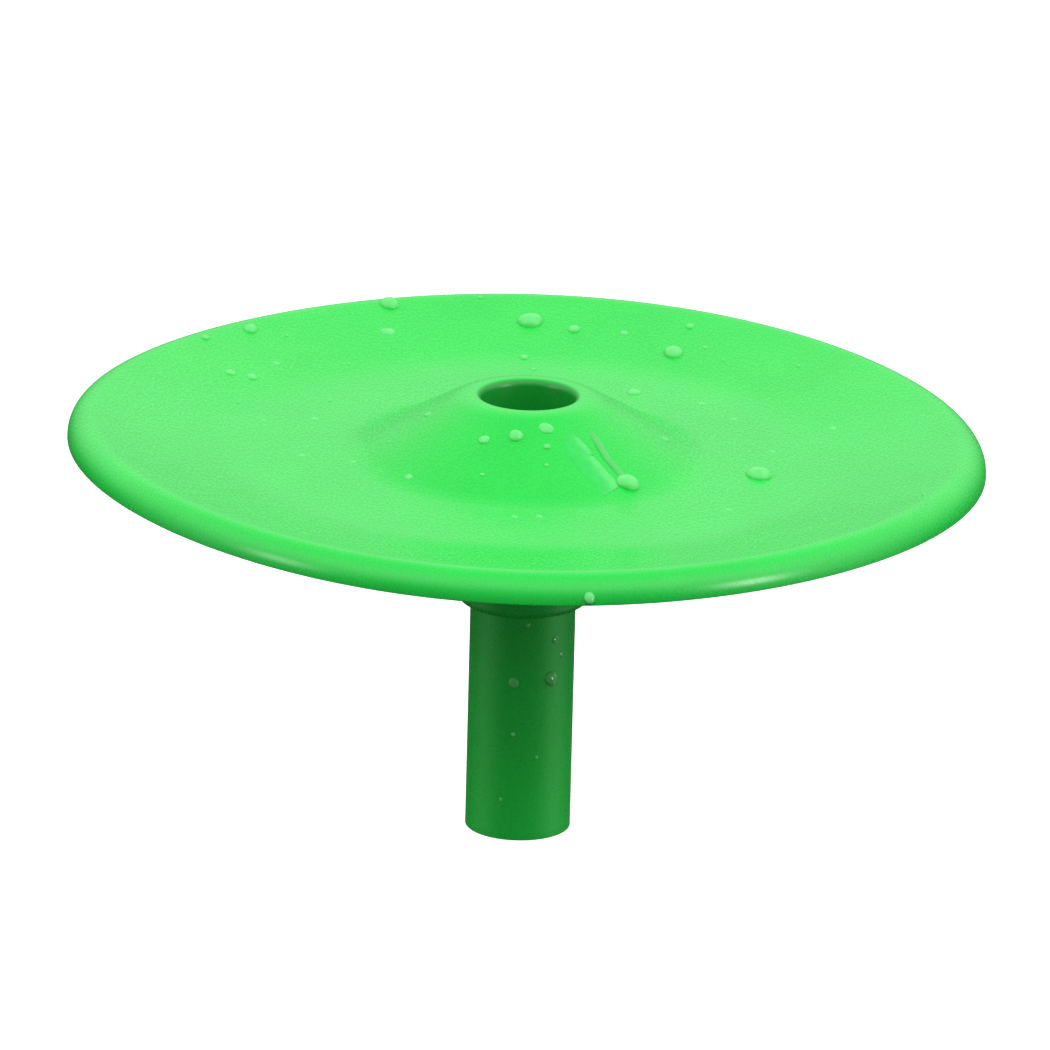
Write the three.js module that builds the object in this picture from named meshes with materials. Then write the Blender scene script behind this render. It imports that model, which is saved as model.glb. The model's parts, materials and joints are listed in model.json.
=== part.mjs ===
// A round dish with a raised centre hole, a hollow stem under it and the sleeve that joins the two.
// Millimetres, +Z up. The origin is on the axis, at the stem's lower end.
import * as THREE from 'three';

// Dish: a thin shell with a flat ring floor, a rising outer slope and a rolled-down rim
const DISH_RADIUS = 75; // the widest circle, on the lip of the rim
const FLOOR_RADIUS = 48.5; // where the outer slope leaves the flat floor
const SLOPE_ANGLE = 11; // degrees
const SHELL_WALL = 1.8;
const RIM_ROLL = 4; // outer radius of the rolled rim's section
const LIP_DEPTH = 0.5; // straight lip below the roll
const SLOPE_ROUNDING = 44;

// Boss: the cone in the middle of the dish, with the hole in its rounded top
const BOSS_HEIGHT = 9.9; // above the floor
const BOSS_ANGLE = 29.4; // degrees, the cone's flank
const HOLE_LIP_WIDTH = 3.2; // from the hole to the corner of the flank
const HOLE_ROUNDING = 1.2;
const SHOULDER_ROUNDING = 7;
const FOOT_ROUNDING = 10;

// Stem: a straight tube whose bore runs on through the boss
const STEM_RADIUS = 8.65;
const STEM_WALL = 0.95;
const STEM_DROP = 64.4; // from the dish's floor down to the stem's lower end
const SPIGOT_DROP = 8; // from the floor down to the end of the dish's own short tube
const END_GAP = 0.3; // between the spigot's end and the stem's top

// Sleeve: pressed on the spigot, with the stem pushed into its lower half
const SLEEVE_WALL = 2;
const SLEEVE_DROP = 25.4; // from the floor down to the sleeve's lower end
const FIT_GAP = 0.15; // sleeve bore to spigot and stem, all round
const SEAT_GAP = 0.1; // sleeve top to the boss's underside
const SLEEVE_ROUNDING = 1.2;

const EDGE_ROUNDING = 0.2;
const TURNS = 48; // flats round the axis
const ARC_ERROR = 0.03; // the most that a flat cuts inside its arc

const boreRadius = STEM_RADIUS - STEM_WALL;
const slope = THREE.MathUtils.degToRad(SLOPE_ANGLE);
const flank = THREE.MathUtils.degToRad(BOSS_ANGLE);

// The points of a closed outline, given its corners [radius, height, rounding] anticlockwise.
// Each corner with a rounding becomes an arc that is tangent to both of its sides.
function roundedOutline(corners) {
  const points = [];
  corners.forEach(([radius, height, rounding], index) => {
    const corner = new THREE.Vector2(radius, height);
    if (!rounding) {
      points.push(corner);
      return;
    }
    const [beforeRadius, beforeHeight] = corners.at(index - 1);
    const [afterRadius, afterHeight] = corners[(index + 1) % corners.length];
    const back = new THREE.Vector2(beforeRadius, beforeHeight).sub(corner).normalize();
    const ahead = new THREE.Vector2(afterRadius, afterHeight).sub(corner).normalize();
    const half = Math.acos(back.dot(ahead)) / 2;
    const centre = back.clone().add(ahead).setLength(rounding / Math.sin(half)).add(corner);
    const start = back.clone().multiplyScalar(rounding / Math.tan(half)).add(corner).sub(centre);
    const turn = Math.sign(ahead.cross(back)) * (Math.PI - 2 * half);
    const steps = Math.ceil(Math.abs(turn) / (2 * Math.acos(1 - ARC_ERROR / rounding)));
    for (let step = 0; step <= steps; step += 1) {
      const spoke = start.clone().rotateAround(new THREE.Vector2(), (turn * step) / steps);
      points.push(spoke.add(centre));
    }
  });
  return points;
}

// The corners of an open outline moved to its left by a distance, with its roundings kept concentric.
function offsetCorners(corners, distance) {
  const places = corners.map(([radius, height]) => new THREE.Vector2(radius, height));
  const ways = places.slice(1).map((place, index) => place.clone().sub(places[index]).normalize());
  const toTheLeft = (way) => new THREE.Vector2(-way.y, way.x);
  return corners.map(([, , rounding], index) => {
    const before = ways[Math.max(index - 1, 0)];
    const after = ways[Math.min(index, ways.length - 1)];
    const middle = toTheLeft(before).add(toTheLeft(after)).normalize();
    const reach = distance / middle.dot(toTheLeft(after));
    const moved = places[index].clone().addScaledVector(middle, reach);
    return [moved.x, moved.y, rounding - Math.sign(before.cross(after)) * distance];
  });
}

// A closed outline turned once round the Z axis
function turned(corners) {
  const outline = roundedOutline(corners);
  outline.push(outline[0].clone());
  return new THREE.LatheGeometry(outline, TURNS).rotateX(Math.PI / 2);
}

// Heights in the dish are counted from the top of its floor.
// Its upper side runs inwards from the lip to the hole, and its underside is a wall's thickness below.
function dishCorners() {
  const shoulderRadius = boreRadius + HOLE_LIP_WIDTH;
  const footRadius = shoulderRadius + BOSS_HEIGHT / Math.tan(flank);
  const rimCorner = (DISH_RADIUS - FLOOR_RADIUS) * Math.tan(slope);
  const rollEnd = rimCorner - RIM_ROLL * Math.tan((Math.PI / 2 + slope) / 2);
  const upperSide = [
    [DISH_RADIUS, rollEnd - LIP_DEPTH, EDGE_ROUNDING],
    [DISH_RADIUS, rimCorner, RIM_ROLL],
    [FLOOR_RADIUS, 0, SLOPE_ROUNDING],
    [footRadius, 0, FOOT_ROUNDING],
    [shoulderRadius, BOSS_HEIGHT, SHOULDER_ROUNDING],
    [boreRadius, BOSS_HEIGHT, HOLE_ROUNDING],
  ];
  const spigot = [
    [boreRadius, -SPIGOT_DROP, EDGE_ROUNDING],
    [STEM_RADIUS, -SPIGOT_DROP, EDGE_ROUNDING],
    [STEM_RADIUS, BOSS_HEIGHT - SHELL_WALL, 0],
  ];
  const underSide = offsetCorners(upperSide, SHELL_WALL).slice(0, -1).reverse();
  return [...upperSide, ...spigot, ...underSide];
}

// Heights in the sleeve are counted from its lower end. Its top stops at the boss's underside.
function sleeveCorners() {
  const inner = STEM_RADIUS + FIT_GAP;
  const outer = inner + SLEEVE_WALL;
  const shoulderRadius = boreRadius + HOLE_LIP_WIDTH;
  const flankAbove = BOSS_HEIGHT - Math.max(outer - shoulderRadius, 0) * Math.tan(flank);
  const top = flankAbove - SHELL_WALL / Math.cos(flank) - SEAT_GAP + SLEEVE_DROP;
  return [
    [inner, 0, EDGE_ROUNDING],
    [outer, 0, SLEEVE_ROUNDING],
    [outer, top, SLEEVE_ROUNDING],
    [inner, top, EDGE_ROUNDING],
  ];
}

// Heights in the stem are counted from its lower end.
function stemCorners() {
  const top = STEM_DROP - SPIGOT_DROP - END_GAP;
  return [
    [boreRadius, 0, EDGE_ROUNDING],
    [STEM_RADIUS, 0, EDGE_ROUNDING],
    [STEM_RADIUS, top, EDGE_ROUNDING],
    [boreRadius, top, EDGE_ROUNDING],
  ];
}

function piece(name, corners, height) {
  const plastic = new THREE.MeshStandardMaterial({ color: 0x3fdc62, roughness: 0.3, metalness: 0 });
  const mesh = new THREE.Mesh(turned(corners), plastic);
  mesh.name = name;
  mesh.position.z = height;
  return mesh;
}

const dishWithSleeve = new THREE.Group();
dishWithSleeve.position.z = STEM_DROP;
dishWithSleeve.add(piece('dish', dishCorners(), 0));
dishWithSleeve.add(piece('stem_sleeve', sleeveCorners(), -SLEEVE_DROP));

const funnel = new THREE.Group();
funnel.add(dishWithSleeve);
funnel.add(piece('stem_tube', stemCorners(), 0));

export default funnel;
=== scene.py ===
"""Looks of a stemmed funnel dish: finished meshes, moulded plastic, water drops and a studio.

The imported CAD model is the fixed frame, in metres, with +Z up along the stem.
"""

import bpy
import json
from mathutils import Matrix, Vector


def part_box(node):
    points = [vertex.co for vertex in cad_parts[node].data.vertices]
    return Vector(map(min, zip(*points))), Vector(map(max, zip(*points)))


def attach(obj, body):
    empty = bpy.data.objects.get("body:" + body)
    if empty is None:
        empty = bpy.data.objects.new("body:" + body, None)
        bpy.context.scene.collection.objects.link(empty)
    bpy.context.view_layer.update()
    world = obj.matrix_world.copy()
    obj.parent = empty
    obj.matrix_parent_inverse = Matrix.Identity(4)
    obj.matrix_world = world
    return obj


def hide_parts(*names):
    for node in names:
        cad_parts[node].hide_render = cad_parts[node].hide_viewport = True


bl_info = {
    "name": "Funnel Dish Looks",
    "version": (1, 0, 0),
    "blender": (4, 5, 0),
    "location": "3D View > Sidebar > Funnel Dish",
    "description": "Builds the finished meshes, plastic, water drops and studio of a stemmed funnel dish",
    "category": "Object",
}

import json
import math
import random

import bpy
from mathutils import Matrix, Vector

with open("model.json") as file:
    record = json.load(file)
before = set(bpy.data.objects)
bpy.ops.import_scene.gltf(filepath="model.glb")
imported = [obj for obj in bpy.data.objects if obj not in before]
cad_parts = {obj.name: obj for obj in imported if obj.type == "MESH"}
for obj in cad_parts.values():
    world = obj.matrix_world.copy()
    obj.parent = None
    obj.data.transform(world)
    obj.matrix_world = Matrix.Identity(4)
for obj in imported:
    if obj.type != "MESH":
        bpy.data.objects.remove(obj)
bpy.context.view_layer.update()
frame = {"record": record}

MM = 0.001
DISH_LOW, DISH_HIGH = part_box("dish")
SLEEVE_LOW, SLEEVE_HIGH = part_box("stem_sleeve")
STEM_LOW, STEM_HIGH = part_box("stem_tube")
SEAT_HEIGHT = next(m["pos_m"][2] for m in frame["record"]["mounts"] if m["name"] == "jar_seat")
DISH_BODY = "dish_body"
STEM_BODY = "stem"

FLOOR_START = 28.5 * MM  # radius at the boss's foot
TURNS = 320  # steps round the axis of each turned piece
ARC_ERROR = 0.002 * MM  # the most that a step cuts inside its arc
LONGEST_STEP = 1.5 * MM  # along the straight parts of an outline
BOARD_WIDTH = 6  # metres, the studio's floor
BOARD_GAP = 2 * MM  # from the light table down to the board under it
FLOOR_DROP = 25 * MM  # from the stem's end down to the floor, so that the stem can be pulled down


# Sizes and colours


def linear(hex_colour):
    """An sRGB hex colour as linear red, green and blue."""
    channels = [int(hex_colour[i : i + 2], 16) / 255 for i in (1, 3, 5)]
    return tuple(c / 12.92 if c <= 0.04045 else ((c + 0.055) / 1.055) ** 2.4 for c in channels)


def length(name, description, default):
    return bpy.props.FloatProperty(name=name, description=description, default=default, unit="LENGTH")


def angle(name, description, degrees):
    return bpy.props.FloatProperty(
        name=name, description=description, default=math.radians(degrees), unit="ROTATION"
    )


def colour(name, description, hex_colour):
    return bpy.props.FloatVectorProperty(
        name=name, description=description, default=linear(hex_colour), subtype="COLOR", min=0, max=1
    )


class DishSizes(bpy.types.PropertyGroup):
    """The dish's section: a flat ring floor, an outer slope, a rolled rim and a boss with a hole."""

    radius: length("Dish radius", "From the axis to the rim's lip", DISH_HIGH.x)
    floor_radius: length("Floor radius", "Where the outer slope leaves the flat floor", 48.5 * MM)
    slope_angle: angle("Slope angle", "Rise of the outer slope", 11)
    wall: length("Shell wall", "Thickness of the dish", 1.8 * MM)
    rim_roll: length("Rim roll", "Outer radius of the rolled rim's section", 4 * MM)
    lip_depth: length("Lip depth", "Straight lip below the roll", 0.5 * MM)
    slope_rounding: length("Slope rounding", "Between floor and slope", 44 * MM)
    boss_angle: angle("Boss angle", "Rise of the boss's flank", 29.4)
    hole_lip_width: length("Hole lip width", "From the hole to the flank's corner", 3.2 * MM)
    hole_rounding: length("Hole rounding", "Edge of the hole", 1.2 * MM)
    shoulder_rounding: length("Shoulder rounding", "Top of the boss's flank", 7 * MM)
    foot_rounding: length("Foot rounding", "Foot of the boss's flank", 10 * MM)
    droop: length("Rim droop", "How far the rim sags on its low side", 1.25 * MM)
    saddle: length("Rim saddle", "Height of the rim's two shallow waves", 0.25 * MM)
    waves: length("Rim waves", "Height of the rim's three shallow waves", 0.55 * MM)
    crown: length("Floor crown", "How far the floor falls from the boss to the slope", 0.5 * MM)


class StemSizes(bpy.types.PropertyGroup):
    """The stem and the sleeve that holds it."""

    wall: length("Stem wall", "Thickness of the stem", 0.95 * MM)
    edge_rounding: length("Edge rounding", "Cut edges of the stem and the spigot", 0.2 * MM)
    sleeve_gap: length("Sleeve gap", "Between the stem and the sleeve's bore", 0.15 * MM)
    sleeve_rounding: length("Sleeve rounding", "Outer edges of the sleeve", 1.2 * MM)


class WaterSizes(bpy.types.PropertyGroup):
    """The water that stands on the plastic."""

    bead_height: bpy.props.FloatProperty(
        name="Bead height", description="Height of a drop as a share of its width", default=0.3
    )
    mist_count: bpy.props.IntProperty(name="Mist drops", description="Tiny drops on the dish", default=26)
    mist_width: length("Mist drop width", "Width of the largest tiny drop", 0.9 * MM)
    film_width: length("Film width", "Width of the thin film on the boss", 6 * MM)
    film_height: length("Film height", "Thickness of the thin film on the boss", 0.04 * MM)
    run_width: length("Run width", "Width of the run of water down the boss", 2 * MM)
    run_height: length("Run height", "Height of the run of water down the boss", 0.05 * MM)


class FinishColours(bpy.types.PropertyGroup):
    """Colours of the plastic and of the studio."""

    plastic: colour("Plastic", "Dyed right through the moulding", "#20D84A")
    # Painted light: the water and film tints are paler than the plastic, a painted sheen in place of the
    # light that clear water gathers and reflects.
    water: colour("Water", "Plastic seen through a drop", "#70EF82")
    film: colour("Film", "Plastic seen through a thin film of water", "#30E05C")
    # Painted shade: the run's tint is darker than the plastic, painted shade along the run's ridge.
    run: colour("Run", "Plastic seen through the run of water", "#1ECB45")
    table: colour("Table", "Pale studio floor", "#E8E8E8")
    board: colour("Board", "Board that sends light up under the dish", "#454545")


class StudioSizes(bpy.types.PropertyGroup):
    """Where the camera and the lights stand."""

    aim_height: length("Aim height", "Point on the axis at the middle of the picture", 51.8 * MM)
    elevation: angle("Camera elevation", "Above the floor's plane", 18.4)
    roll: angle("Camera roll", "Turn of the camera about its line of sight", 1.46)
    distance: length("Camera distance", "From the aimed point", 1.962)
    lens: bpy.props.FloatProperty(name="Lens", description="Focal length in millimetres", default=411.4)
    walls: bpy.props.FloatProperty(name="Walls", description="Brightness of the pale walls", default=1.67)


# Outlines


def rounded_outline(corners):
    """Points of a closed outline. Each corner is (radius, height, rounding), eased by a tangent arc."""
    points = []
    for index, (radius, height, rounding) in enumerate(corners):
        corner = Vector((radius, height))
        back = (Vector(corners[index - 1][:2]) - corner).normalized()
        ahead = (Vector(corners[(index + 1) % len(corners)][:2]) - corner).normalized()
        if not rounding:
            points.append(corner)
            continue
        half = back.angle(ahead) / 2
        centre = corner + (back + ahead).normalized() * (rounding / math.sin(half))
        start = corner + back * (rounding / math.tan(half)) - centre
        turn = math.copysign(math.pi - 2 * half, ahead.cross(back))
        steps = math.ceil(abs(turn) / (2 * math.acos(1 - ARC_ERROR / rounding)))
        for step in range(steps + 1):
            share = turn * step / steps
            spoke = Matrix.Rotation(share, 2) @ start
            points.append(centre + spoke)
    return points


def offset_corners(corners, distance):
    """The corners of an open outline moved to its left, with concentric roundings."""
    places = [Vector(c[:2]) for c in corners]
    ways = [(b - a).normalized() for a, b in zip(places, places[1:])]
    moved = []
    for index, (place, corner) in enumerate(zip(places, corners)):
        before = ways[max(index - 1, 0)]
        after = ways[min(index, len(ways) - 1)]
        left = Vector((-after.y, after.x))
        middle = (left + Vector((-before.y, before.x))).normalized()
        spot = place + middle * (distance / middle.dot(left))
        bend = before.cross(after)
        grown = corner[2] - (math.copysign(distance, bend) if abs(bend) > 1e-6 else 0)
        moved.append((spot.x, spot.y, grown))
    return moved


def fine(points):
    """The same closed outline with no step longer than LONGEST_STEP."""
    made = []
    for start, end in zip(points, points[1:] + points[:1]):
        steps = max(1, math.ceil((end - start).length / LONGEST_STEP))
        made += [start.lerp(end, step / steps) for step in range(steps)]
    return made


def dish_upper_side(sizes, stem):
    """The dish's upper corners from the lip inwards to the hole, with heights from the stem's end."""
    floor = SEAT_HEIGHT + sizes.wall
    hole = STEM_HIGH.x - stem.wall
    boss = DISH_HIGH.z
    shoulder = hole + sizes.hole_lip_width
    foot = shoulder + (boss - floor) / math.tan(sizes.boss_angle)
    rim = floor + (sizes.radius - sizes.floor_radius) * math.tan(sizes.slope_angle)
    roll_end = rim - sizes.rim_roll * math.tan((math.pi / 2 + sizes.slope_angle) / 2)
    return [
        (sizes.radius, roll_end - sizes.lip_depth, stem.edge_rounding),
        (sizes.radius, rim, sizes.rim_roll),
        (sizes.floor_radius, floor, sizes.slope_rounding),
        (foot, floor, sizes.foot_rounding),
        (shoulder, boss, sizes.shoulder_rounding),
        (hole, boss, sizes.hole_rounding),
    ]


def dish_corners(sizes, stem):
    upper = dish_upper_side(sizes, stem)
    under = offset_corners(upper, sizes.wall)[:-1]
    hole = upper[-1][0]
    spigot = [
        (hole, DISH_LOW.z, stem.edge_rounding),
        (STEM_HIGH.x, DISH_LOW.z, stem.edge_rounding),
        (STEM_HIGH.x, DISH_HIGH.z - sizes.wall, 0),
    ]
    return upper + spigot + under[::-1]


def ring_corners(inner, outer, low, high, inner_rounding, outer_rounding):
    return [
        (inner, low, inner_rounding),
        (outer, low, outer_rounding),
        (outer, high, outer_rounding),
        (inner, high, inner_rounding),
    ]


def sag(sizes, x, y):
    """How far the thin dish stands off its true shape at a place: most at the rim, nothing at the boss."""
    share = math.hypot(x, y) / sizes.radius
    bearing = math.degrees(math.atan2(y, x))
    lobes = ((1, 2, sizes.droop, 172), (2, 2, sizes.saddle, 29), (3, 3, sizes.waves, 82))
    lift = sum(
        height * share**power * math.cos(math.radians(count * (bearing - crest)))
        for count, power, height, crest in lobes
    )
    reach = share * sizes.radius
    if reach < sizes.floor_radius:
        fall = max(0, (reach - FLOOR_START) / (sizes.floor_radius - FLOOR_START))
    else:
        fall = max(0, (sizes.radius - reach) / (sizes.radius - sizes.floor_radius))
    return lift - sizes.crown * math.sin(fall * math.pi / 2)


# Meshes


def new_piece(name, vertices, faces, material, body, replaced=(), slot=None):
    """A smooth mesh piece that rides on a CAD body."""
    mesh = bpy.data.meshes.new(name)
    mesh.from_pydata(vertices, [], faces)
    mesh.validate()
    mesh.shade_smooth()
    mesh.materials.append(material)
    piece = bpy.data.objects.new(name, mesh)
    bpy.context.scene.collection.objects.link(piece)
    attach(piece, body)
    if replaced:
        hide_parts(*replaced)
    return piece


def turned(corners):
    """Vertices and faces of a closed outline turned once round the Z axis."""
    outline = fine(rounded_outline(corners))
    vertices = []
    for turn in range(TURNS):
        bearing = math.tau * turn / TURNS
        vertices += [(p.x * math.cos(bearing), p.x * math.sin(bearing), p.y) for p in outline]
    count = len(outline)
    faces = []
    for turn in range(TURNS):
        here, there = turn * count, (turn + 1) % TURNS * count
        for step in range(count):
            after = (step + 1) % count
            faces.append((here + step, there + step, there + after, here + after))
    return vertices, faces


# Materials


def add_node(tree, kind, inputs=None, **settings):
    """Adds a node with its settings. An input is a value, or a socket to link from."""
    node = tree.nodes.new(kind)
    for key, value in settings.items():
        setattr(node, key, value)
    for key, value in (inputs or {}).items():
        if isinstance(value, bpy.types.NodeSocket):
            tree.links.new(value, node.inputs[key])
        else:
            node.inputs[key].default_value = value
    return node


def new_material(name):
    material = bpy.data.materials.new(name)
    material.use_nodes = True
    material.node_tree.nodes.clear()
    return material, material.node_tree


def moulded_polypropylene(name, base):
    """Polypropylene, injection moulded in a satin tool: soft broad highlights over a deep even colour,
    with the tool's fine grit in the gloss, faint clouding of the dye and slow ripples where it shrank.
    The wall of the bore is rougher, and painted shade darkens its colour to half inside the hole."""
    material, tree = new_material(name)
    place = add_node(tree, "ShaderNodeTexCoord").outputs["Object"]

    def noise(size, detail):
        inputs = {"Vector": place, "Scale": 1 / size, "Detail": detail}
        return add_node(tree, "ShaderNodeTexNoise", inputs).outputs["Fac"]

    def spread(value, low, high):
        inputs = {"Value": value, "From Min": 0.3, "From Max": 0.7, "To Min": low, "To Max": high}
        return add_node(tree, "ShaderNodeMapRange", inputs).outputs["Result"]

    clouds = noise(14 * MM, 2)
    grit = noise(0.45 * MM, 1)  # the tool's grit is 0.1 mm, drawn coarser so that it shows
    ripple = noise(22 * MM, 1)

    across = add_node(tree, "ShaderNodeVectorMath", {0: place, 1: (1, 1, 0)}, operation="MULTIPLY")
    across_length = add_node(tree, "ShaderNodeVectorMath", {0: across.outputs[0]}, operation="LENGTH")
    bore = STEM_HIGH.x - bpy.context.scene.funnel_stem.wall
    lip = bore + bpy.context.scene.funnel_dish.hole_rounding
    # Painted shade: this mask is nought on the bore's wall and the stem's inner wall and rises to one
    # across the hole's rounded edge. It halves the colour's value in the hole and roughens the wall there.
    depth = add_node(
        tree,
        "ShaderNodeMapRange",
        {"Value": across_length.outputs["Value"], "From Min": bore, "From Max": lip},
    ).outputs["Result"]
    tone = (*base, 1)
    # Clouds and grit are the dye's random tone. The last factor is painted shade that halves the colour in
    # the hole.
    for value in (spread(clouds, 0.975, 1.025), spread(grit, 0.97, 1.03), spread(depth, 0.5, 1)):
        tone = add_node(tree, "ShaderNodeHueSaturation", {"Color": tone, "Value": value}).outputs["Color"]
    dulled = add_node(
        tree, "ShaderNodeMapRange", {"Value": depth, "To Min": 0.1, "To Max": 0}
    ).outputs["Result"]
    gloss = add_node(
        tree, "ShaderNodeMath", {0: spread(grit, 0.25, 0.3), 1: dulled}, operation="ADD"
    ).outputs[0]
    grain = add_node(
        tree, "ShaderNodeBump", {"Height": grit, "Strength": 0.06, "Distance": 0.01 * MM}
    )
    skin = add_node(
        tree,
        "ShaderNodeBump",
        {"Height": ripple, "Strength": 0.5, "Distance": 0.08 * MM, "Normal": grain.outputs["Normal"]},
    )
    plastic = add_node(
        tree,
        "ShaderNodeBsdfPrincipled",
        {
            "Base Color": tone,
            "Roughness": gloss,
            "IOR": 1.49,
            "Specular IOR Level": 0.44,  # a satin tool leaves a little less than full gloss
            "Normal": skin.outputs["Normal"],
        },
    )
    add_node(tree, "ShaderNodeOutputMaterial", {"Surface": plastic.outputs["BSDF"]})
    return material


def standing_water(name, tint):
    """Tap water, beaded on plastic, letting only a tenth of the light through. Its colour is the given
    tint, painted light in place of what clear water gathers: paler than the plastic for the drops and the
    film, darker for the run, with small sharp reflections on its skin and faint swirls where it dries."""
    material, tree = new_material(name)
    place = add_node(tree, "ShaderNodeTexCoord").outputs["Object"]
    swirl = add_node(tree, "ShaderNodeTexNoise", {"Vector": place, "Scale": 1 / (1.2 * MM)}).outputs["Fac"]
    depth = add_node(
        tree,
        "ShaderNodeMapRange",
        {"Value": swirl, "From Min": 0.3, "From Max": 0.7, "To Min": 0.93, "To Max": 1.05},
    ).outputs["Result"]
    gathered = add_node(tree, "ShaderNodeHueSaturation", {"Color": (*tint, 1), "Value": depth})
    water = add_node(
        tree,
        "ShaderNodeBsdfPrincipled",
        {
            "Base Color": gathered.outputs["Color"],
            "Roughness": 0.06,
            "IOR": 1.333,
            "Transmission Weight": 0.1,
        },
    )
    add_node(tree, "ShaderNodeOutputMaterial", {"Surface": water.outputs["BSDF"]})
    return material


def matt_coat(tree, base, scale):
    """The colour of an even coat whose tone wanders by a hundredth."""
    place = add_node(tree, "ShaderNodeTexCoord").outputs["Object"]
    noise = add_node(tree, "ShaderNodeTexNoise", {"Vector": place, "Scale": 1 / scale}).outputs["Fac"]
    even = add_node(
        tree, "ShaderNodeMapRange", {"Value": noise, "To Min": 0.99, "To Max": 1.01}
    ).outputs["Result"]
    tone = add_node(tree, "ShaderNodeHueSaturation", {"Color": (*base, 1), "Value": even})
    return tone.outputs["Color"]


def frosted_acrylic(name, base):
    """White acrylic sheet, frosted and lit from below: an even pale ground that takes almost no shadow."""
    material, tree = new_material(name)
    coat = matt_coat(tree, base, 60 * MM)
    sheet = add_node(
        tree,
        "ShaderNodeBsdfPrincipled",
        {
            "Base Color": coat,
            "Roughness": 0.8,
            "Specular IOR Level": 0.1,
            "Emission Color": (1, 1, 1, 1),
            "Emission Strength": 0.7,
        },
    )
    add_node(tree, "ShaderNodeOutputMaterial", {"Surface": sheet.outputs["BSDF"]})
    return material


def painted_board(name, base):
    """Matt painted fibreboard: no gloss, and a barely uneven coat."""
    material, tree = new_material(name)
    board = add_node(
        tree,
        "ShaderNodeBsdfPrincipled",
        {"Base Color": matt_coat(tree, base, 60 * MM), "Roughness": 0.9, "Specular IOR Level": 0.2},
    )
    add_node(tree, "ShaderNodeOutputMaterial", {"Surface": board.outputs["BSDF"]})
    return material


# Water

# Drops on the dish: bearing in degrees, distance from the axis and width in millimetres, and
# how high the drop stands beside a full bead
DISH_DROPS = (
    (110, 69.5, 3.6, 1), (90, 62.5, 4.4, 1), (83, 60.5, 2.3, 1), (75, 61, 1.6, 0.5),
    (66, 66, 1.6, 1), (65, 57, 3.6, 1), (61, 60.5, 1, 1), (56, 58, 0.8, 1), (97, 70, 1, 1),
    (133, 68.5, 2.7, 1), (141, 69.5, 1.6, 1), (113, 61, 2.6, 0.4), (147, 59, 2, 0.8),
    (145, 56, 2, 0.8), (137, 57.5, 1.5, 0.5), (125, 52.5, 0.8, 1), (157, 52, 0.8, 1),
    (91, 50.5, 1.6, 1), (89, 45.5, 1, 1), (63, 38.5, 2.6, 0.7), (46, 41.5, 1.6, 0.5),
    (33, 40.5, 1.5, 0.5), (19, 53, 1.6, 0.4), (-11, 38.5, 4.6, 1), (-4, 22.5, 1.6, 0.8),
    (-50, 25.5, 4, 1), (-115, 16.5, 2, 0.8), (-97, 15, 2.6, 0.9), (-77, 13.5, 2.6, 0.5),
    (-79, 17, 1.3, 0.9), (-81, 20.5, 0.8, 1), (-108, 23, 0.8, 1), (-171, 16.5, 1.5, 0.6),
    (157, 38, 1.5, 0.5), (163, 45.5, 1.3, 0.5), (-172, 37, 1.3, 0.4), (-163, 29.5, 1.3, 0.4),
    (-136, 26.5, 1.6, 0.5), (8, 40.5, 1.3, 0.5), (-38, 41.5, 1.3, 0.5), (-93, 33, 1.3, 0.4),
    (-86, 32.5, 1.3, 0.4), (-82, 74.9, 1.9, 0.9),
)  # fmt: skip
# Drops on the stem: bearing in degrees, height above the stem's end and width in millimetres, and
# how high the drop stands beside a full bead
STEM_DROPS = (
    (-55, 28, 2.6, 1), (-51, 34.5, 1.4, 0.6), (-98, 27.5, 1.8, 0.4), (-97, 18.5, 0.8, 1),
    (-71, 14.5, 0.7, 1), (-109, 7, 0.7, 1), (-41, 31.5, 1, 0.6), (-84, 37.5, 0.8, 1),
)  # fmt: skip
# The run down the boss, which ends in a drop, and the film of water beside it: bearing in degrees and
# distance from the axis in millimetres
RUN_PATH = ((-45, 13.5), (-49, 17), (-51, 20.5), (-50, 24.5))
FILM_PATH = ((-64, 12.5), (-64, 16), (-63, 20), (-60, 24), (-58, 26.5))
DROP_RINGS = 9  # steps from a drop's foot to its top
DROP_SPOKES = 36  # steps round a drop
DROP_FOOT = 0.06 * MM  # depth of the smallest drop's foot under the surface
DROP_SINK = 0.03  # more depth of the foot, as a share of the drop's width
DROP_LEAN = 0.22  # how far a drop's top slides down an upright surface, as a share of its width
RUN_STEPS = 40  # steps along a run
RUN_LANES = 10  # steps across a run
RUN_FOOT = 0.08 * MM  # depth of a run's foot under the surface


class Skin:
    """The dish's upper surface: its height over any place, and its normal there."""

    def __init__(self, sizes, stem):
        corners = dish_upper_side(sizes, stem)
        below = [(corners[-1][0], DISH_LOW.z, 0), (sizes.radius, DISH_LOW.z, 0)]
        self.line = rounded_outline(corners + below)[: -len(below)]
        self.sizes = sizes

    def height(self, x, y):
        reach = math.hypot(x, y)
        for outer, inner in zip(self.line, self.line[1:]):
            if inner.x <= reach <= outer.x and outer.x > inner.x:
                share = (outer.x - reach) / (outer.x - inner.x)
                return outer.lerp(inner, share).y + sag(self.sizes, x, y)
        raise ValueError(f"no dish at {reach * 1000:.1f} mm from the axis")

    def spot(self, x, y):
        """The place on the dish over (x, y), and its normal."""
        step = 0.05 * MM  # to the neighbours that give the slope
        inward = -Vector((x, y)).normalized() * step
        side = Vector((-inward.y, inward.x))
        place = Vector((x, y, self.height(x, y)))
        ahead = Vector((x + inward.x, y + inward.y, self.height(x + inward.x, y + inward.y)))
        beside = Vector((x + side.x, y + side.y, self.height(x + side.x, y + side.y)))
        normal = (ahead - place).cross(beside - place).normalized()
        return place, normal if normal.z > 0 else -normal


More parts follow.
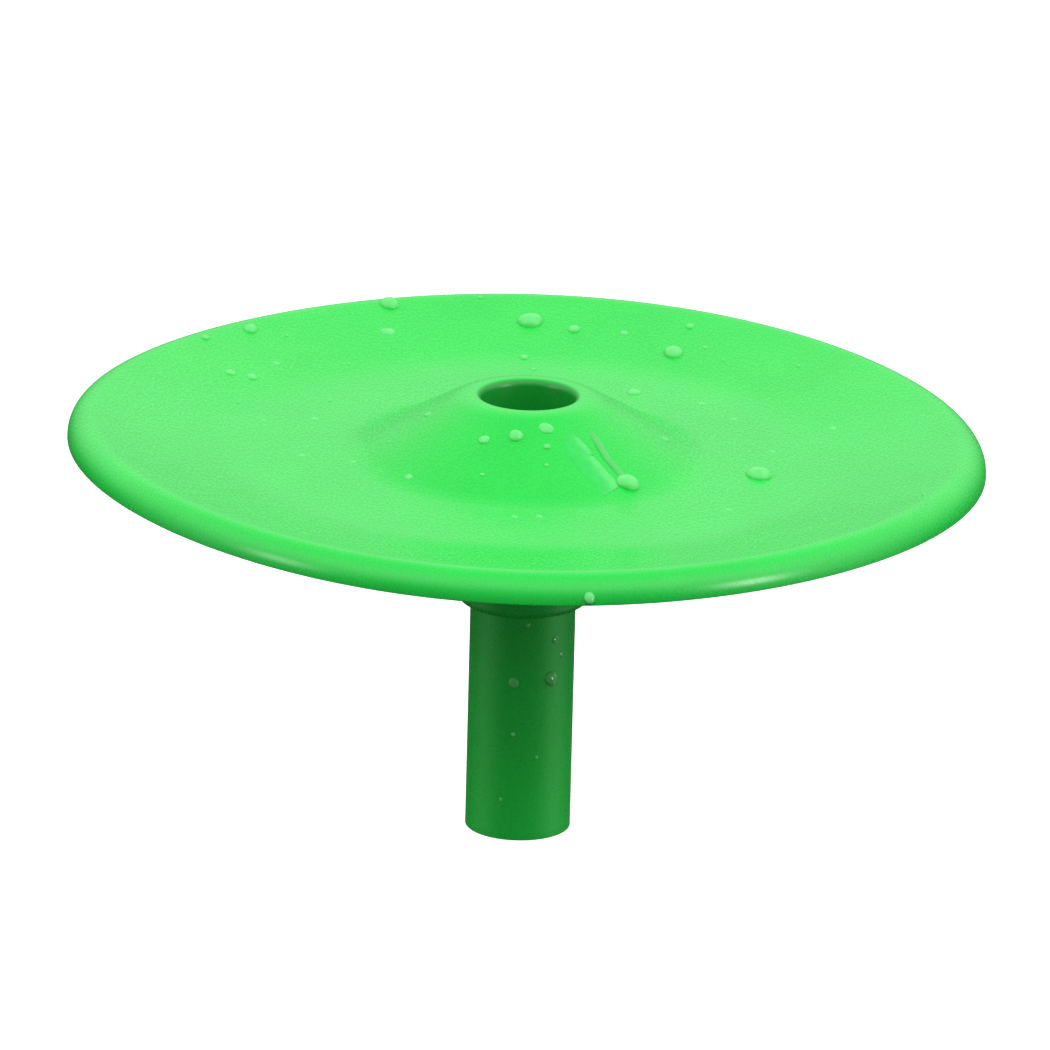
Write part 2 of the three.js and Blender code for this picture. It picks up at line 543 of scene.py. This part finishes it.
def drop_mesh(place, normal, width, height, rng):
    """A bead of water on a surface: a rounded cap over a base that lies just under the surface."""
    down = Vector((0, 0, -1))
    slope = down - normal * down.dot(normal)
    steep = min(slope.length, 1)
    along = slope.normalized() if slope.length > 1e-3 else Vector((1, 0, 0))
    across = normal.cross(along)
    phases = [rng.uniform(0, math.tau) for _ in range(2)]
    embed = DROP_FOOT + DROP_SINK * width
    vertices = []
    for ring in range(DROP_RINGS + 1):
        share = 1 - ring / DROP_RINGS
        rise = (1 - share**2.3) ** 0.6
        for spoke in range(DROP_SPOKES):
            bearing = math.tau * spoke / DROP_SPOKES
            wobble = 1 + 0.05 * math.sin(2 * bearing + phases[0]) + 0.03 * math.sin(3 * bearing + phases[1])
            reach = width / 2 * share * wobble
            lean = DROP_LEAN * steep * width * rise
            spot = place + along * (math.cos(bearing) * reach + lean) + across * (math.sin(bearing) * reach)
            vertices.append(spot + normal * ((height + embed) * rise - embed))
    count = DROP_RINGS * DROP_SPOKES
    vertices[count:] = [vertices[count], place - normal * (2 * embed)]
    top, bottom = count, count + 1
    faces = []
    for ring in range(DROP_RINGS):
        for spoke in range(DROP_SPOKES):
            here, there = ring * DROP_SPOKES + spoke, ring * DROP_SPOKES + (spoke + 1) % DROP_SPOKES
            if ring == 0:
                faces.append((bottom, there, here))
            if ring == DROP_RINGS - 1:
                faces.append((here, there, top))
            else:
                faces.append((here, there, there + DROP_SPOKES, here + DROP_SPOKES))
    return vertices, faces


def joined(meshes):
    """Several (vertices, faces) as one."""
    vertices, faces = [], []
    for more_vertices, more_faces in meshes:
        start = len(vertices)
        vertices += more_vertices
        faces += [tuple(start + index for index in face) for face in more_faces]
    return vertices, faces


def run_mesh(skin, path, width, height):
    """A thin run of water that follows the dish's skin down a path of (x, y) points."""
    steps, lanes = RUN_STEPS, RUN_LANES
    embed = RUN_FOOT
    vertices = []
    for step in range(steps + 1):
        share = step / steps * (len(path) - 1)
        index = min(int(share), len(path) - 2)
        here = path[index].lerp(path[index + 1], share - index)
        way = (path[index + 1] - path[index]).normalized()
        side = Vector((-way.y, way.x))
        taper = math.sin(math.pi * min(0.5, 0.04 + step / steps)) ** 0.8
        for lane in range(lanes + 1):
            across = 2 * lane / lanes - 1
            spot = here + side * (across * width / 2 * taper)
            place, normal = skin.spot(spot.x, spot.y)
            rise = math.sqrt(max(0, 1 - across**2)) * taper
            vertices.append(place + normal * ((height + embed) * rise - embed))
        under, under_normal = skin.spot(here.x, here.y)
        vertices.append(under - under_normal * (3 * embed))
    row = lanes + 2
    faces = []
    for step in range(steps):
        for lane in range(row):
            after = (lane + 1) % row
            here, there = step * row, (step + 1) * row
            faces.append((here + lane, here + after, there + after, there + lane))
    faces.append(tuple(range(row))[::-1])
    faces.append(tuple(steps * row + lane for lane in range(row)))
    return vertices, faces


# Studio

# Glows on the walls: bearing and height in degrees, how narrow, and how bright
WALL_GLOWS = (
    (325, 36, 4, 1.75),  # right
    (213, 36, 4, 1.3),  # left
    (90, 74, 4, -0.95),  # a shade over the back
)
HORIZON_GLOWS = (
    (350, 0, 8, 1.5),  # right
    (190, 0, 8, 0.95),  # left
    (275, 0, 3, 0.15),  # in front
    (80, 0, 3, 0.1),  # behind the dish
)
# Low softboxes: bearing and height in degrees, distance, width and height in metres, and power in watts
SOFTBOXES = (
    ("left_softbox", 211, 13, 1, 0.2, 0.32, 1.6),
    ("right_softbox", 326, 13, 1, 0.2, 0.32, 3.1),
)


def heading(bearing, height):
    """A direction from its bearing and its height above the horizon, in degrees."""
    turn, lift = math.radians(bearing), math.radians(height)
    return Vector((math.cos(lift) * math.cos(turn), math.cos(lift) * math.sin(turn), math.sin(lift)))


# Operators


class FUNNEL_OT_dish(bpy.types.Operator):
    """Turn the dish with its boss, hole and rolled rim, and let its thin shell sag a little"""

    bl_idname = "funnel.dish"
    bl_label = "Dish"

    def execute(self, context):
        sizes = context.scene.funnel_dish
        vertices, faces = turned(dish_corners(sizes, context.scene.funnel_stem))
        vertices = [(x, y, z + sag(sizes, x, y)) for x, y, z in vertices]
        plastic = moulded_polypropylene("moulded_polypropylene_dish", context.scene.funnel_finish.plastic)
        new_piece("funnel_dish", vertices, faces, plastic, DISH_BODY, ["dish"], "dish_plastic")
        return {"FINISHED"}


class FUNNEL_OT_sleeve(bpy.types.Operator):
    """Turn the sleeve that holds the stem under the boss"""

    bl_idname = "funnel.sleeve"
    bl_label = "Sleeve"

    def execute(self, context):
        stem = context.scene.funnel_stem
        inner = STEM_HIGH.x + stem.sleeve_gap
        corners = ring_corners(
            inner, SLEEVE_HIGH.x, SLEEVE_LOW.z, SLEEVE_HIGH.z, stem.edge_rounding, stem.sleeve_rounding
        )
        plastic = moulded_polypropylene("moulded_polypropylene_sleeve", context.scene.funnel_finish.plastic)
        new_piece("stem_sleeve_skin", *turned(corners), plastic, DISH_BODY, ["stem_sleeve"], "stem_plastic")
        return {"FINISHED"}


class FUNNEL_OT_stem(bpy.types.Operator):
    """Turn the hollow stem"""

    bl_idname = "funnel.stem"
    bl_label = "Stem"

    def execute(self, context):
        stem = context.scene.funnel_stem
        inner = STEM_HIGH.x - stem.wall
        edge = stem.edge_rounding
        corners = ring_corners(inner, STEM_HIGH.x, STEM_LOW.z, STEM_HIGH.z, edge, edge)
        plastic = moulded_polypropylene("moulded_polypropylene_stem", context.scene.funnel_finish.plastic)
        new_piece("stem_tube_skin", *turned(corners), plastic, STEM_BODY, ["stem_tube"], "stem_plastic")
        return {"FINISHED"}


class FUNNEL_OT_water(bpy.types.Operator):
    """Stand drops of water on the dish and the stem, with one run down the boss"""

    bl_idname = "funnel.water"
    bl_label = "Water drops"

    def execute(self, context):
        water = context.scene.funnel_water
        skin = Skin(context.scene.funnel_dish, context.scene.funnel_stem)
        rng = random.Random(7)
        # Painted light: the drops are not clear but a paler tint of the plastic, letting only a little
        # light through.
        clear = standing_water("standing_water", context.scene.funnel_finish.water)

        def at(bearing, distance):
            turn = math.radians(bearing)
            return Vector((math.cos(turn), math.sin(turn))) * (distance * MM)

        beads = []
        for bearing, distance, width, stand in DISH_DROPS:
            place, normal = skin.spot(*at(bearing, distance))
            height = width * MM * water.bead_height * stand
            beads.append(drop_mesh(place, normal, width * MM, height, rng))
        for _ in range(water.mist_count):
            place, normal = skin.spot(*at(rng.uniform(0, 360), rng.uniform(22, 70)))
            width = water.mist_width * rng.uniform(0.5, 1)
            beads.append(drop_mesh(place, normal, width, width * water.bead_height, rng))
        new_piece("water_on_dish", *joined(beads), clear, DISH_BODY)
        # Painted light: the film is a paler tint of the plastic.
        film = standing_water("thin_water_film", context.scene.funnel_finish.film)
        path = [at(*spot) for spot in FILM_PATH]
        film_mesh = run_mesh(skin, path, water.film_width, water.film_height)
        new_piece("water_film", *film_mesh, film, DISH_BODY)
        # Painted shade: the run is a darker tint of the plastic.
        run = standing_water("running_water", context.scene.funnel_finish.run)
        path = [at(*spot) for spot in RUN_PATH]
        new_piece("water_run", *run_mesh(skin, path, water.run_width, water.run_height), run, DISH_BODY)

        beads = []
        for bearing, height, width, stand in STEM_DROPS:
            outward = at(bearing, 1).normalized().to_3d()
            place = outward * STEM_HIGH.x + Vector((0, 0, height * MM))
            beads.append(drop_mesh(place, outward, width * MM, width * MM * water.bead_height * stand, rng))
        new_piece("water_on_stem", *joined(beads), clear, STEM_BODY)
        return {"FINISHED"}


class FUNNEL_OT_studio(bpy.types.Operator):
    """Lay the pale floor, light the studio and place the camera"""

    bl_idname = "funnel.studio"
    bl_label = "Studio"

    def execute(self, context):
        studio = context.scene.funnel_studio
        self.lay_floor(context)
        self.light_walls(context, studio)
        self.hang_softboxes(context, studio)
        self.place_camera(context, studio)
        return {"FINISHED"}

    def lay_board(self, name, height, material):
        """A square board at a height."""
        half = BOARD_WIDTH / 2
        corners = [(x, y, height) for x, y in ((-half, -half), (half, -half), (half, half), (-half, half))]
        mesh = bpy.data.meshes.new(name)
        mesh.from_pydata(corners, [], [(0, 1, 2, 3)])
        mesh.materials.append(material)
        board = bpy.data.objects.new(name, mesh)
        bpy.context.scene.collection.objects.link(board)
        return board

    def lay_floor(self, context):
        """A pale light table, over a grey board that sends a little light up under the dish."""
        finish = context.scene.funnel_finish
        acrylic = frosted_acrylic("frosted_acrylic_table", finish.table)
        table = self.lay_board("light_table", -FLOOR_DROP, acrylic)
        table.visible_diffuse = False
        table.visible_glossy = False
        table.visible_transmission = False
        table.visible_shadow = False
        paint = painted_board("painted_board_grey", finish.board)
        board = self.lay_board("bounce_board", -FLOOR_DROP - BOARD_GAP, paint)
        board.visible_camera = False
        board.visible_glossy = False

    def light_walls(self, context, studio):
        """Pale walls and ceiling: dim low down in front, even above, with a soft glow at each side."""
        world = bpy.data.worlds.new("studio_walls")
        world.use_nodes = True
        tree = world.node_tree
        tree.nodes.clear()
        way = add_node(tree, "ShaderNodeTexCoord").outputs["Generated"]

        def towards(direction):
            return add_node(
                tree, "ShaderNodeVectorMath", {0: way, 1: direction}, operation="DOT_PRODUCT"
            ).outputs["Value"]

        def combined(operation, first, second):
            return add_node(tree, "ShaderNodeMath", {0: first, 1: second}, operation=operation).outputs[0]

        def glowing(total, glows):
            for bearing, height, narrowness, strength in glows:
                facing = combined("MAXIMUM", towards(heading(bearing, height)), 0)
                glow = combined("MULTIPLY", combined("POWER", facing, narrowness), strength)
                total = combined("ADD", total, glow)
            return total

        rise = add_node(
            tree,
            "ShaderNodeMapRange",
            {"Value": towards((0, 0.2, 1)), "From Min": -0.03, "From Max": 0.85, "To Min": 0.02},
            interpolation_type="SMOOTHSTEP",
        ).outputs["Result"]
        above = combined("MULTIPLY", glowing(studio.walls, WALL_GLOWS), rise)
        walls = add_node(tree, "ShaderNodeBackground", {"Strength": glowing(above, HORIZON_GLOWS)})
        add_node(tree, "ShaderNodeOutputWorld", {"Surface": walls.outputs["Background"]})
        context.scene.world = world

    def hang_softboxes(self, context, studio):
        middle = Vector((0, 0, studio.aim_height))
        for name, bearing, height, distance, width, depth, power in SOFTBOXES:
            way = heading(bearing, height)
            lamp = bpy.data.lights.new(name, "AREA")
            lamp.shape = "RECTANGLE"
            lamp.size = width
            lamp.size_y = depth
            lamp.energy = power
            softbox = bpy.data.objects.new(name, lamp)
            softbox.location = middle + way * distance
            softbox.rotation_euler = way.to_track_quat("Z", "Y").to_euler()
            softbox.visible_diffuse = False
            context.scene.collection.objects.link(softbox)

    def place_camera(self, context, studio):
        back = Vector((0, -math.cos(studio.elevation), math.sin(studio.elevation)))
        level_up = Vector((0, math.sin(studio.elevation), math.cos(studio.elevation)))
        across = Vector((1, 0, 0))
        right = across * math.cos(studio.roll) + level_up * math.sin(studio.roll)
        up = level_up * math.cos(studio.roll) - across * math.sin(studio.roll)
        data = bpy.data.cameras.new("studio_camera")
        data.lens = studio.lens
        data.sensor_width = 36
        data.clip_start, data.clip_end = 0.05, 20
        camera = bpy.data.objects.new("studio_camera", data)
        turn = Matrix((right, up, back)).transposed().to_4x4()
        place = Vector((0, 0, studio.aim_height)) + back * studio.distance
        camera.matrix_world = Matrix.Translation(place) @ turn
        context.scene.collection.objects.link(camera)
        context.scene.camera = camera
        context.scene.view_settings.view_transform = "Standard"


class FUNNEL_PT_sidebar(bpy.types.Panel):
    """Every piece of the funnel dish and its settings"""

    bl_idname = "FUNNEL_PT_sidebar"
    bl_label = "Funnel Dish"
    bl_space_type = "VIEW_3D"
    bl_region_type = "UI"
    bl_category = "Funnel Dish"

    def draw(self, context):
        for operator in OPERATORS:
            self.layout.operator(operator.bl_idname)
        for name, group in GROUPS.items():
            box = self.layout.box()
            for key in group.__annotations__:
                box.prop(getattr(context.scene, name), key)


GROUPS = {
    "funnel_dish": DishSizes,
    "funnel_stem": StemSizes,
    "funnel_water": WaterSizes,
    "funnel_finish": FinishColours,
    "funnel_studio": StudioSizes,
}
OPERATORS = (FUNNEL_OT_dish, FUNNEL_OT_sleeve, FUNNEL_OT_stem, FUNNEL_OT_water, FUNNEL_OT_studio)


def register():
    for cls in (*GROUPS.values(), *OPERATORS, FUNNEL_PT_sidebar):
        bpy.utils.register_class(cls)
    for name, group in GROUPS.items():
        setattr(bpy.types.Scene, name, bpy.props.PointerProperty(type=group))


def unregister():
    for name in GROUPS:
        delattr(bpy.types.Scene, name)
    for cls in (FUNNEL_PT_sidebar, *OPERATORS, *reversed(GROUPS.values())):
        bpy.utils.unregister_class(cls)


def main():
    register()
    bpy.ops.funnel.dish()
    bpy.ops.funnel.sleeve()
    bpy.ops.funnel.stem()
    bpy.ops.funnel.water()
    bpy.ops.funnel.studio()


if __name__ == "__main__":
    main()
